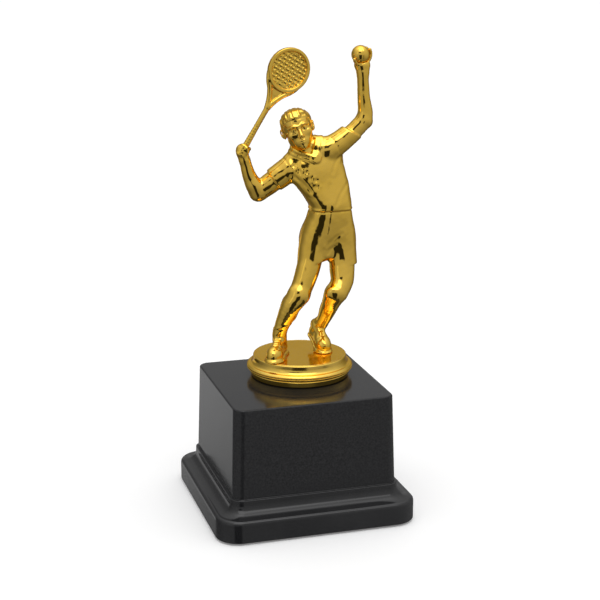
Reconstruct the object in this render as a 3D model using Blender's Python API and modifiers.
"""A figure trophy: a gilt tennis player in mid serve on a turned disc, bolted to a stepped black plinth.

Metres, +Z up, front towards -Y. The origin is on the table, under the centre of the plinth.
Run with: blender --background --python part.py
"""

import math

import bmesh
import bpy
from mathutils import Matrix, Vector

MM = 0.001
GAP = 0.3 * MM  # left between pieces that touch
RUN_OUT = 5.0 * MM  # how far a cutter runs past the face it opens

# Plinth shell, a hollow moulding
PAD_PROUD = 0.8 * MM
FLANGE_WIDTH = 76.2 * MM
FLANGE_CORNER = 8.9 * MM
FLANGE_SIDE = 6.8 * MM
SHOULDER = 1.6 * MM
SHOULDER_TURN = 75  # degrees that the shoulder turns before the cove begins
FOOT_HEIGHT = 14.0 * MM
STEP_OUT = 0.9 * MM
STEP_HEIGHT = 1.6 * MM
FINE_CHAMFER = 0.3 * MM
BLOCK_FOOT_WIDTH = 62.7 * MM
BLOCK_TOP_WIDTH = 60.8 * MM
BLOCK_HEIGHT = 33.8 * MM
BLOCK_CORNER = 4.0 * MM
TOP_EDGE = 0.7 * MM
WALL = 2.2 * MM
TOP_WALL = 2.5 * MM
CORNER_STEPS = 6  # flats in a quarter turn of a corner
COVE_STEPS = 6
EDGE_STEPS = 4

# Bolt axis, where the figure stands on the plinth
BOLT_X = 4.4 * MM
BOLT_Y = 6.1 * MM

# Tie bolt, M6, its washers and the boss they clamp
BOLT_RADIUS = 3.0 * MM
HEAD_ACROSS_FLATS = 10.0 * MM
HEAD_HEIGHT = 4.0 * MM
BOSS_RADIUS = 6.0 * MM
BOSS_BOTTOM = 14.0 * MM
PLATE_WASHER_RADIUS = 9.0 * MM
PLATE_WASHER_THICKNESS = 1.6 * MM
SPRING_WASHER_RADIUS = 5.5 * MM
SPRING_WASHER_THICKNESS = 1.6 * MM
SPRING_WASHER_SPLIT = 1.2 * MM
WRENCH_ROOM = 0.8 * MM

# Base board and foot pads
BOARD_THICKNESS = 3.0 * MM
PAD_RADIUS = 5.0 * MM
PAD_THICKNESS = 1.9 * MM
PAD_INSET = 12.0 * MM

# Figure disc and its threaded insert
DISC_HEIGHT = 8.0 * MM
DISC_TOP_RADIUS = 17.9 * MM
DISC_LIP = 1.3 * MM
DISC_EDGE = 0.4 * MM
BEAD_RADIUS = 20.3 * MM
BEAD_THICKNESS = 2.2 * MM
BEAD_TURN = 75  # degrees each way from level that the bead is round
RING_RADIUS = 19.5 * MM
RING_HEIGHT = 1.5 * MM
RING_GROOVE = 0.6 * MM
INSERT_RADIUS = 4.6 * MM
INSERT_HEIGHT = 5.8 * MM
INSERT_GROOVE = 0.5 * MM

# Figure: places from the bolt axis on the disc's top, then the limb's radius there, in millimetres
PELVIS = (11.3, 0.0, 45.0, 6.6)
WAIST = (11.5, 0.4, 56.0, 5.6)
CHEST = (8.8, 0.2, 68.0, 6.4)
COLLAR = (4.6, 1.0, 76.5, 3.5)
HEAD = (-0.9, -0.3, 86.9, 3.0)
SHOULDER_R = (-2.2, 2.0, 71.9, 4.1)
ELBOW_R = (-13.5, 4.0, 63.4, 3.3)
WRIST_R = (-20.1, 3.0, 75.0, 2.0)
FIST = (-20.9, 3.0, 78.9, 2.8)
SHOULDER_L = (11.6, -1.0, 79.2, 4.1)
ELBOW_L = (24.8, -2.0, 90.0, 2.8)
WRIST_L = (23.7, -2.0, 106.0, 1.9)
PALM = (22.8, -2.0, 107.2, 1.5)
HIP_R = (6.6, -1.0, 43.5, 6.0)
KNEE_R = (-1.4, -6.0, 27.2, 4.0)
SHIN_R = (-4.0, -4.8, 21.9, 3.9)
CALF_R = (-5.6, -2.5, 16.8, 3.3)
ANKLE_R = (-7.3, 0.5, 7.8, 2.4)
HEEL_R = (-6.6, 2.0, 2.2, 2.9)
TOE_R = (-12.4, -8.9, 1.6, 3.0)
HIP_L = (15.9, -1.0, 43.5, 6.0)
KNEE_L = (14.5, -7.5, 28.3, 4.0)
SHIN_L = (12.7, -4.6, 21.9, 3.9)
CALF_L = (11.0, -0.4, 15.4, 3.3)
ANKLE_L = (10.3, 4.4, 8.2, 2.4)
HEEL_L = (8.8, 7.2, 4.2, 2.9)
TOE_L = (9.9, -1.3, 1.6, 3.0)
LIMBS = (
    (COLLAR, HEAD), (CHEST, WAIST), (WAIST, PELVIS),
    (SHOULDER_R, CHEST), (SHOULDER_R, COLLAR),
    (SHOULDER_R, ELBOW_R), (ELBOW_R, WRIST_R), (WRIST_R, FIST),
    (SHOULDER_L, CHEST), (SHOULDER_L, COLLAR),
    (SHOULDER_L, ELBOW_L), (ELBOW_L, WRIST_L), (WRIST_L, PALM),
    (HIP_R, KNEE_R), (KNEE_R, SHIN_R), (SHIN_R, CALF_R),
    (CALF_R, ANKLE_R), (ANKLE_R, HEEL_R), (HEEL_R, TOE_R),
    (HIP_L, KNEE_L), (KNEE_L, SHIN_L), (SHIN_L, CALF_L),
    (CALF_L, ANKLE_L), (ANKLE_L, HEEL_L), (HEEL_L, TOE_L),
)
PELVIS_RADII = (10.3, 6.6, 9.5)
WAIST_RADII = (7.5, 5.8, 9.5)
CHEST_RADII = (10.2, 6.8, 10.5)
HEAD_RADII = (6.3, 6.7, 7.9)
PALM_RADII = (2.1, 1.5, 2.4)
HEAD_TILT = 17.0  # degrees, the crown towards the racket
FIGURE_VOXEL = 0.9 * MM
FIGURE_KEEP = 0.3  # share of the faces that the coarse figure keeps
PEG_PLACE = 0.8  # of the way from a shoe's heel to its toe
FOOT_PEG_RADIUS = 1.3 * MM
FOOT_PEG_LENGTH = 2.0 * MM
PEG_ROOT = 1.5 * MM
BALL_PEG_RADIUS = 0.7 * MM
BALL_PEG_LENGTH = 1.6 * MM

# Ball and racket
BALL_RADIUS = 3.4 * MM
RACKET_LEAN = 31.4  # degrees from upright, the head towards the raised arm
RACKET_REACH = 33.9 * MM  # from the fist to the middle of the head
RACKET_HALF_LENGTH = 8.4 * MM
RACKET_HALF_WIDTH = 7.8 * MM
RIM_WIDTH = 1.5 * MM
RIM_DEPTH = 2.4 * MM
WEB_THICKNESS = 1.0 * MM
HANDLE_RADIUS = 0.9 * MM
HANDLE_IN_FIST = 1.0 * MM
THROAT_LENGTH = 6.0 * MM
THROAT_HALF_WIDTH = 5.3 * MM
THROAT_FLATNESS = 0.2  # thickness over width

# Levels that follow from the sizes above
FLANGE_BOTTOM = PAD_PROUD
FOOT_TOP = FLANGE_BOTTOM + FOOT_HEIGHT
PLINTH_TOP = FOOT_TOP + BLOCK_HEIGHT
CAVITY_TOP = PLINTH_TOP - TOP_WALL
BOARD_BOTTOM = PAD_THICKNESS + GAP
BOARD_TOP = BOARD_BOTTOM + BOARD_THICKNESS
BOARD_SEAT = BOARD_TOP + GAP
DISC_BOTTOM = PLINTH_TOP + GAP
DISC_TOP = DISC_BOTTOM + DISC_HEIGHT
BOLT_HOLE_RADIUS = BOLT_RADIUS + GAP
BALL_BOTTOM = DISC_TOP + (PALM[2] + PALM_RADII[2]) * MM + GAP
BALL_PEG_TOP = BALL_BOTTOM + BALL_PEG_LENGTH
PLATE_WASHER_TOP = BOSS_BOTTOM - GAP
SPRING_WASHER_TOP = PLATE_WASHER_TOP - PLATE_WASHER_THICKNESS - GAP
HEAD_TOP = SPRING_WASHER_TOP - SPRING_WASHER_THICKNESS - GAP
INSERT_BOTTOM = DISC_BOTTOM + GAP
INSERT_TOP = INSERT_BOTTOM + INSERT_HEIGHT
BOLT_END = INSERT_TOP - GAP
ACCESS_RADIUS = PLATE_WASHER_RADIUS + WRENCH_ROOM
FLANGE_INSIDE = FLANGE_WIDTH / 2 - WALL
BLOCK_INSIDE = BLOCK_FOOT_WIDTH / 2 - WALL
SEAT_INSIDE = FLANGE_INSIDE - WALL
CAVITY_NECK = FLANGE_BOTTOM + FLANGE_SIDE
CAVITY_WAIST = FOOT_TOP - WALL
INNER_CORNER = FLANGE_CORNER - WALL
BLOCK_DRAFT = (BLOCK_FOOT_WIDTH - BLOCK_TOP_WIDTH) / 2

GOLD = ((0.72, 0.50, 0.13), 0.14, 1.0)
BLACK_PLASTIC = ((0.012, 0.012, 0.013), 0.16, 0.0)
ZINC = ((0.62, 0.63, 0.65), 0.3, 1.0)
BRASS = ((0.70, 0.52, 0.22), 0.3, 1.0)
CEMENT = ((0.48, 0.46, 0.43), 0.9, 0.0)
BOARD = ((0.20, 0.13, 0.08), 0.85, 0.0)
FOAM_RUBBER = ((0.03, 0.03, 0.03), 0.9, 0.0)


def clear_scene():
    for old in list(bpy.data.objects):
        bpy.data.objects.remove(old, do_unlink=True)


def make_collection(name):
    collection = bpy.data.collections.new(name)
    bpy.context.scene.collection.children.link(collection)
    return collection


def make_material(name, look):
    colour, roughness, metallic = look
    material = bpy.data.materials.new(name)
    material.use_nodes = True
    shader = material.node_tree.nodes["Principled BSDF"]
    shader.inputs["Base Color"].default_value = (*colour, 1.0)
    shader.inputs["Roughness"].default_value = roughness
    shader.inputs["Metallic"].default_value = metallic
    return material


def make_object(name, bm, collection, look=None):
    """A mesh object of what bm holds. Without a look it is a cutter or a filler, and isn't a part."""
    bmesh.ops.recalc_face_normals(bm, faces=bm.faces)
    mesh = bpy.data.meshes.new(name)
    bm.to_mesh(mesh)
    bm.free()
    obj = bpy.data.objects.new(name, mesh)
    collection.objects.link(obj)
    if look is None:
        obj.hide_render = True
        obj.display_type = "WIRE"
        return obj
    mesh.materials.append(make_material(name, look))
    mesh.shade_smooth()
    mesh.set_sharp_from_angle(angle=math.radians(35))
    return obj


def combine(obj, operation, other):
    """Cuts other from obj, or joins it on, by an exact Boolean."""
    modifier = obj.modifiers.new(f"{operation.lower()} {other.name}", "BOOLEAN")
    modifier.operation = operation
    modifier.solver = "EXACT"
    modifier.object = other


def cylinder(radius, bottom, top, x=0.0, y=0.0, segments=32):
    bm = bmesh.new()
    bmesh.ops.create_cone(
        bm, cap_ends=True, segments=segments, radius1=radius, radius2=radius, depth=top - bottom,
        matrix=Matrix.Translation((x, y, (bottom + top) / 2)),
    )
    return bm


def bolt_cylinder(radius, bottom, top, segments=32):
    """A cylinder on the bolt's axis."""
    return cylinder(radius, bottom, top, BOLT_X, BOLT_Y, segments)


def rounded_square(half, corner, z):
    """The points of a square with round corners, anticlockwise from above."""
    points = []
    for quarter in range(4):
        turn = math.radians(90 * quarter)
        middle = Matrix.Rotation(turn, 3, "Z") @ Vector((half - corner, half - corner, 0))
        for step in range(CORNER_STEPS + 1):
            angle = turn + math.radians(90) * step / CORNER_STEPS
            edge = Vector((math.cos(angle), math.sin(angle), 0)) * corner
            points.append(middle + edge + Vector((0, 0, z)))
    return points


def loft(sections):
    """A closed solid through round-cornered squares, each (half width, corner radius, height)."""
    bm = bmesh.new()
    rings = []
    for half, corner, z in sections:
        rings.append([bm.verts.new(point) for point in rounded_square(half, corner, z)])
    count = len(rings[0])
    for low, high in zip(rings, rings[1:]):
        for i in range(count):
            j = (i + 1) % count
            bm.faces.new((low[i], low[j], high[j], high[i]))
    bm.faces.new(list(reversed(rings[0])))
    bm.faces.new(rings[-1])
    return bm


def arc(middle, radius, start, end, steps):
    """Points of an arc in the (r, z) plane, angles in degrees from +r."""
    angles = [math.radians(start + (end - start) * i / steps) for i in range(steps + 1)]
    return [(middle[0] + radius * math.cos(a), middle[1] + radius * math.sin(a)) for a in angles]


def cove(start, end, steps):
    """A hollow quarter of an ellipse in the (r, z) plane, level at its start and upright at its end."""
    reach = end[0] - start[0]
    rise = end[1] - start[1]
    angles = [math.radians(90 * i / steps) for i in range(steps + 1)]
    return [(start[0] + reach * math.sin(a), end[1] - rise * math.cos(a)) for a in angles]


def turned(name, profile, collection, look, steps=48):
    """A solid of revolution about the bolt's axis, from an open profile whose ends are on the axis."""
    bm = bmesh.new()
    points = [bm.verts.new((r, 0, z)) for r, z in profile]
    for first, second in zip(points, points[1:]):
        bm.edges.new((first, second))
    mesh = bpy.data.meshes.new(name)
    bm.to_mesh(mesh)
    bm.free()
    obj = bpy.data.objects.new(name, mesh)
    collection.objects.link(obj)
    obj.location = (BOLT_X, BOLT_Y, 0)
    screw = obj.modifiers.new("turn", "SCREW")
    screw.steps = steps
    screw.render_steps = steps
    screw.use_merge_vertices = True
    screw.merge_threshold = 0.00001
    mesh.materials.append(make_material(name, look))
    return obj


def make_plinth(parts, cutters):
    flange = FLANGE_WIDTH / 2
    foot = BLOCK_FOOT_WIDTH / 2
    top = BLOCK_TOP_WIDTH / 2
    shoulder = FLANGE_BOTTOM + FLANGE_SIDE
    step = foot + STEP_OUT
    step_bottom = FOOT_TOP - STEP_HEIGHT

    def flange_corner(half):
        """The foot's corners tighten with its profile, down to the block's own corner."""
        share = (half - foot) / (flange - foot)
        return BLOCK_CORNER + share * (FLANGE_CORNER - BLOCK_CORNER)

    rounding = arc((flange - SHOULDER, shoulder), SHOULDER, 0, SHOULDER_TURN, EDGE_STEPS)
    hollow = cove(rounding[-1], (step, step_bottom), COVE_STEPS)
    profile = [(flange, FLANGE_BOTTOM), *rounding, *hollow[1:]]
    profile += [(step, FOOT_TOP - FINE_CHAMFER), (foot, FOOT_TOP)]
    sections = [(half, flange_corner(half), z) for half, z in profile]
    side_top = PLINTH_TOP - TOP_EDGE
    for r, z in arc((top - TOP_EDGE, side_top), TOP_EDGE, 0, 90, EDGE_STEPS):
        sections.append((r, BLOCK_CORNER - (top - r), z))
    shell = make_object("plinth_shell", loft(sections), parts, BLACK_PLASTIC)

    cavity = make_object("cavity", loft([
        (FLANGE_INSIDE, INNER_CORNER, FLANGE_BOTTOM - RUN_OUT),
        (FLANGE_INSIDE, INNER_CORNER, BOARD_SEAT),
        (SEAT_INSIDE, INNER_CORNER, BOARD_SEAT),
        (SEAT_INSIDE, INNER_CORNER, CAVITY_NECK),
        (BLOCK_INSIDE, BLOCK_CORNER, CAVITY_WAIST),
        (BLOCK_INSIDE - BLOCK_DRAFT, BLOCK_CORNER, CAVITY_TOP),
    ]), cutters)
    boss = make_object("boss", bolt_cylinder(BOSS_RADIUS, BOSS_BOTTOM, PLINTH_TOP + RUN_OUT), cutters)
    bore = make_object("bore", bolt_cylinder(BOLT_HOLE_RADIUS, 0, PLINTH_TOP + RUN_OUT), cutters)
    combine(cavity, "DIFFERENCE", boss)
    combine(shell, "DIFFERENCE", cavity)
    combine(shell, "DIFFERENCE", bore)


def make_ballast(parts, cutters):
    """A cast block that follows the cavity, a gap inside it."""
    ballast = make_object("ballast_block", loft([
        (SEAT_INSIDE - GAP, INNER_CORNER, BOARD_SEAT),
        (SEAT_INSIDE - GAP, INNER_CORNER, CAVITY_NECK - GAP),
        (BLOCK_INSIDE - GAP, BLOCK_CORNER, CAVITY_WAIST - GAP),
        (BLOCK_INSIDE - BLOCK_DRAFT - GAP, BLOCK_CORNER, CAVITY_TOP - GAP),
    ]), parts, CEMENT)
    boss_bore = make_object("boss_bore", bolt_cylinder(BOSS_RADIUS + GAP, 0, PLINTH_TOP), cutters)
    counterbore = make_object("counterbore", bolt_cylinder(ACCESS_RADIUS, 0, BOSS_BOTTOM), cutters)
    combine(ballast, "DIFFERENCE", boss_bore)
    combine(ballast, "DIFFERENCE", counterbore)


def make_base_board(parts, cutters):
    half = FLANGE_INSIDE - GAP
    corner = INNER_CORNER - GAP
    board = make_object(
        "base_board", loft([(half, corner, BOARD_BOTTOM), (half, corner, BOARD_TOP)]), parts, BOARD
    )
    access = make_object("access_hole", bolt_cylinder(ACCESS_RADIUS, 0, BOARD_TOP + RUN_OUT), cutters)
    combine(board, "DIFFERENCE", access)


def make_foot_pads(parts):
    reach = FLANGE_WIDTH / 2 - PAD_INSET
    places = [(-1, -1), (1, -1), (1, 1), (-1, 1)]
    for number, (x, y) in enumerate(places, start=1):
        pad = cylinder(PAD_RADIUS, 0, PAD_THICKNESS, x * reach, y * reach, 24)
        make_object(f"foot_pad_{number}", pad, parts, FOAM_RUBBER)


def make_fasteners(parts, cutters):
    hexagon = HEAD_ACROSS_FLATS / math.sqrt(3)
    bolt = make_object("tie_bolt", bolt_cylinder(hexagon, HEAD_TOP - HEAD_HEIGHT, HEAD_TOP, 6), parts, ZINC)
    shank = make_object("shank", bolt_cylinder(BOLT_RADIUS, HEAD_TOP - HEAD_HEIGHT / 2, BOLT_END), cutters)
    combine(bolt, "UNION", shank)

    hole = make_object("washer_hole", bolt_cylinder(BOLT_HOLE_RADIUS, 0, PLINTH_TOP), cutters)
    plate = bolt_cylinder(PLATE_WASHER_RADIUS, PLATE_WASHER_TOP - PLATE_WASHER_THICKNESS, PLATE_WASHER_TOP)
    plate_washer = make_object("plate_washer", plate, parts, ZINC)
    combine(plate_washer, "DIFFERENCE", hole)

    ring = bolt_cylinder(
        SPRING_WASHER_RADIUS, SPRING_WASHER_TOP - SPRING_WASHER_THICKNESS, SPRING_WASHER_TOP
    )
    spring_washer = make_object("spring_washer", ring, parts, ZINC)
    combine(spring_washer, "DIFFERENCE", hole)
    slot = bmesh.new()
    bmesh.ops.create_cube(slot, size=1.0, matrix=(
        Matrix.Translation((BOLT_X + SPRING_WASHER_RADIUS, BOLT_Y, SPRING_WASHER_TOP))
        @ Matrix.Diagonal((2 * BOLT_RADIUS, SPRING_WASHER_SPLIT, 4 * SPRING_WASHER_THICKNESS, 1))
    ))
    combine(spring_washer, "DIFFERENCE", make_object("washer_slot", slot, cutters))


def make_disc(parts, cutters):
    """The turned disc: a lip, a cove, a bead over a groove, and a lower ring."""
    bead = BEAD_THICKNESS / 2
    bead_middle = (BEAD_RADIUS - bead, RING_HEIGHT + BEAD_THICKNESS)
    bead_top = (bead_middle[0], bead_middle[1] + bead)
    lip_bottom = (DISC_TOP_RADIUS, DISC_HEIGHT - DISC_LIP)
    groove = RING_RADIUS - RING_GROOVE
    profile = [
        (0, DISC_HEIGHT),
        (DISC_TOP_RADIUS - DISC_EDGE, DISC_HEIGHT),
        (DISC_TOP_RADIUS, DISC_HEIGHT - DISC_EDGE),
    ]
    profile += reversed(cove(bead_top, lip_bottom, EDGE_STEPS))
    profile += arc(bead_middle, bead, BEAD_TURN, -BEAD_TURN, 2 * EDGE_STEPS)
    profile += [
        (groove, RING_HEIGHT + FINE_CHAMFER),
        (groove, RING_HEIGHT),
        (RING_RADIUS, RING_HEIGHT - FINE_CHAMFER),
        (RING_RADIUS, FINE_CHAMFER),
        (RING_RADIUS - FINE_CHAMFER, 0),
        (0, 0),
    ]
    disc = turned("figure_disc", [(r, DISC_BOTTOM + z) for r, z in profile], parts, GOLD)
    pocket = make_object(
        "insert_pocket",
        bolt_cylinder(INSERT_RADIUS + GAP, DISC_BOTTOM - RUN_OUT, INSERT_TOP + GAP),
        cutters,
    )
    combine(disc, "DIFFERENCE", pocket)
    for name, (x, y) in peg_places().items():
        socket = cylinder(
            FOOT_PEG_RADIUS + GAP, DISC_TOP - FOOT_PEG_LENGTH - GAP, DISC_TOP + RUN_OUT, x, y, 16
        )
        combine(disc, "DIFFERENCE", make_object(f"{name}_socket", socket, cutters))
    return disc


def make_insert(parts, cutters):
    """A brass bush with two grooves that key it into the disc."""
    land = INSERT_HEIGHT / 5
    bottom = INSERT_BOTTOM
    groove = INSERT_RADIUS - INSERT_GROOVE
    profile = [(0, INSERT_TOP), (INSERT_RADIUS, INSERT_TOP)]
    for level, (upper, lower) in enumerate([(INSERT_RADIUS, groove), (groove, INSERT_RADIUS)] * 2, start=1):
        z = INSERT_TOP - level * land
        profile += [(upper, z), (lower, z)]
    profile += [(INSERT_RADIUS, bottom), (0, bottom)]
    insert = turned("threaded_insert", profile, parts, BRASS, 32)
    bore = make_object("insert_bore", bolt_cylinder(BOLT_HOLE_RADIUS, 0, DISC_TOP), cutters)
    combine(insert, "DIFFERENCE", bore)
    return insert


def place(point):
    """A figure place, in millimetres from the bolt axis on the disc's top, in world metres."""
    x, y, z = point[:3]
    return Vector((BOLT_X + x * MM, BOLT_Y + y * MM, DISC_TOP + z * MM))


def peg_places():
    """Where the pegs under the shoes go: the fore part of each shoe."""
    places = {}
    for side, heel, toe in (("right", HEEL_R, TOE_R), ("left", HEEL_L, TOE_L)):
        middle = place(heel).lerp(place(toe), PEG_PLACE)
        places[f"{side}_peg"] = (middle.x, middle.y)
    return places


def add_ball(bm, point, radii, tilt=0.0):
    """An ellipsoid with radii in millimetres, tilted about Y by so many degrees."""
    matrix = (
        Matrix.Translation(place(point))
        @ Matrix.Rotation(math.radians(tilt), 4, "Y")
        @ Matrix.Diagonal((*(r * MM for r in radii), 1))
    )
    bmesh.ops.create_uvsphere(bm, u_segments=20, v_segments=12, radius=1.0, matrix=matrix)


def add_limb(bm, start, end):
    """A tapered limb with round ends, between two places with their radii."""
    first = place(start)
    second = place(end)
    along = second - first
    turn = along.to_track_quat("Z", "Y").to_matrix().to_4x4()
    bmesh.ops.create_cone(
        bm, cap_ends=True, segments=20, radius1=start[3] * MM, radius2=end[3] * MM,
        depth=along.length, matrix=Matrix.Translation((first + second) / 2) @ turn,
    )
    add_ball(bm, start, (start[3],) * 3)
    add_ball(bm, end, (end[3],) * 3)


def racket_axis():
    lean = math.radians(RACKET_LEAN)
    return Vector((math.sin(lean), 0, math.cos(lean)))


def along_racket(distance):
    """A point on the racket's centre line, so far from the middle of the fist."""
    return place(FIST) + racket_axis() * distance


def racket_turn():
    return Matrix.Rotation(math.radians(RACKET_LEAN), 4, "Y")


def racket_rod(radius, start, end):
    """A rod on the racket's centre line, its ends given from the middle of the fist."""
    bm = bmesh.new()
    bmesh.ops.create_cone(
        bm, cap_ends=True, segments=16, radius1=radius, radius2=radius, depth=end - start,
        matrix=Matrix.Translation(along_racket((start + end) / 2)) @ racket_turn(),
    )
    return bm


def make_player(parts, cutters):
    """The figure as one moulding: limbs and ellipsoids melted together, then thinned."""
    bm = bmesh.new()
    add_ball(bm, PELVIS, PELVIS_RADII)
    add_ball(bm, WAIST, WAIST_RADII)
    add_ball(bm, CHEST, CHEST_RADII, -HEAD_TILT)
    add_ball(bm, HEAD, HEAD_RADII, -HEAD_TILT)
    add_ball(bm, PALM, PALM_RADII)
    for start, end in LIMBS:
        add_limb(bm, start, end)
    player = make_object("player", bm, parts, GOLD)

    melt = player.modifiers.new("melt", "REMESH")
    melt.mode = "VOXEL"
    melt.voxel_size = FIGURE_VOXEL
    thin = player.modifiers.new("thin", "DECIMATE")
    thin.ratio = FIGURE_KEEP

    soles = bolt_cylinder(BEAD_RADIUS, DISC_BOTTOM, DISC_TOP + GAP)
    combine(player, "DIFFERENCE", make_object("soles", soles, cutters))
    grip = racket_rod(HANDLE_RADIUS + GAP, -HANDLE_IN_FIST - GAP, FIST[3] * MM + RUN_OUT)
    combine(player, "DIFFERENCE", make_object("grip_hole", grip, cutters))
    for name, (x, y) in peg_places().items():
        peg = cylinder(FOOT_PEG_RADIUS, DISC_TOP - FOOT_PEG_LENGTH, DISC_TOP + PEG_ROOT, x, y, 16)
        combine(player, "UNION", make_object(name, peg, cutters))
    palm = place(PALM)
    peg = cylinder(BALL_PEG_RADIUS, palm.z, BALL_PEG_TOP, palm.x, palm.y, 12)
    combine(player, "UNION", make_object("ball_peg", peg, cutters))
    return player


def make_ball(parts, cutters):
    """The ball rests on the palm, with a socket for the peg there."""
    palm = place(PALM)
    bm = bmesh.new()
    bmesh.ops.create_uvsphere(
        bm, u_segments=24, v_segments=16, radius=BALL_RADIUS,
        matrix=Matrix.Translation((palm.x, palm.y, BALL_BOTTOM + BALL_RADIUS)),
    )
    ball = make_object("ball", bm, parts, GOLD)
    socket = cylinder(
        BALL_PEG_RADIUS + GAP, BALL_BOTTOM - RUN_OUT, BALL_PEG_TOP + GAP, palm.x, palm.y, 12
    )
    combine(ball, "DIFFERENCE", make_object("ball_socket", socket, cutters))
    return ball


def make_racket(parts, cutters):
    """An oval rim round a solid web, a webbed throat and a handle that ends inside the fist."""
    middle = Matrix.Translation(along_racket(RACKET_REACH)) @ racket_turn()
    face_on = Matrix.Rotation(math.radians(90), 4, "X")
    half_length = RACKET_HALF_LENGTH - RIM_WIDTH / 2
    half_width = RACKET_HALF_WIDTH - RIM_WIDTH / 2

    rim = bpy.data.curves.new("rim", "CURVE")
    rim.dimensions = "3D"
    rim.bevel_mode = "OBJECT"
    section = bpy.data.curves.new("rim_section", "CURVE")
    section.dimensions = "2D"
    draw_oval(section, RIM_WIDTH / 2, RIM_DEPTH / 2, 10)
    section_object = bpy.data.objects.new("rim_section", section)
    section_object.hide_render = True
    cutters.objects.link(section_object)
    rim.bevel_object = section_object
    draw_oval(rim, half_width, half_length, 36)
    rim_curve = bpy.data.objects.new("rim_curve", rim)
    cutters.objects.link(rim_curve)
    rim_curve.matrix_world = middle @ face_on
    bpy.context.view_layer.update()
    graph = bpy.context.evaluated_depsgraph_get()
    mesh = bpy.data.meshes.new_from_object(rim_curve.evaluated_get(graph))
    mesh.transform(rim_curve.matrix_world)
    bpy.data.objects.remove(rim_curve)
    bm = bmesh.new()
    bm.from_mesh(mesh)
    bpy.data.meshes.remove(mesh)
    racket = make_object("racket", bm, parts, GOLD)

    web = bmesh.new()
    bmesh.ops.create_cone(
        web, cap_ends=True, segments=36, radius1=1.0, radius2=1.0, depth=WEB_THICKNESS,
        matrix=middle @ face_on @ Matrix.Diagonal((half_width, half_length, 1, 1)),
    )
    combine(racket, "UNION", make_object("web", web, cutters))

    throat_top = RACKET_REACH - half_length + RIM_WIDTH / 2
    throat_bottom = throat_top - THROAT_LENGTH
    throat = bmesh.new()
    bmesh.ops.create_cone(
        throat, cap_ends=True, segments=4, radius1=HANDLE_RADIUS, radius2=THROAT_HALF_WIDTH,
        depth=THROAT_LENGTH,
        matrix=Matrix.Translation(along_racket((throat_top + throat_bottom) / 2)) @ racket_turn()
        @ Matrix.Diagonal((1, THROAT_FLATNESS, 1, 1)),
    )
    combine(racket, "UNION", make_object("throat", throat, cutters))
    handle = racket_rod(HANDLE_RADIUS, -HANDLE_IN_FIST, throat_bottom + THROAT_LENGTH / 3)
    combine(racket, "UNION", make_object("handle", handle, cutters))
    return racket


def draw_oval(curve, half_width, half_length, count):
    spline = curve.splines.new("POLY")
    spline.points.add(count - 1)
    for i, point in enumerate(spline.points):
        angle = 2 * math.pi * i / count
        point.co = (half_width * math.cos(angle), half_length * math.sin(angle), 0, 1)
    spline.use_cyclic_u = True


def hang_on_bolt(parts, pieces):
    """The figure turns as one on the bolt, so its pieces hang from an empty on the bolt's axis."""
    axis = bpy.data.objects.new("figure_turn", None)
    axis.location = (BOLT_X, BOLT_Y, DISC_BOTTOM)
    parts.objects.link(axis)
    for piece in pieces:
        piece.parent = axis
        piece.matrix_parent_inverse = Matrix.Translation(-axis.location)


def main():
    clear_scene()
    parts = make_collection("figure_trophy")
    cutters = make_collection("cutters")
    make_plinth(parts, cutters)
    make_ballast(parts, cutters)
    make_base_board(parts, cutters)
    make_foot_pads(parts)
    make_fasteners(parts, cutters)
    hang_on_bolt(parts, [
        make_disc(parts, cutters),
        make_insert(parts, cutters),
        make_player(parts, cutters),
        make_ball(parts, cutters),
        make_racket(parts, cutters),
    ])


main()
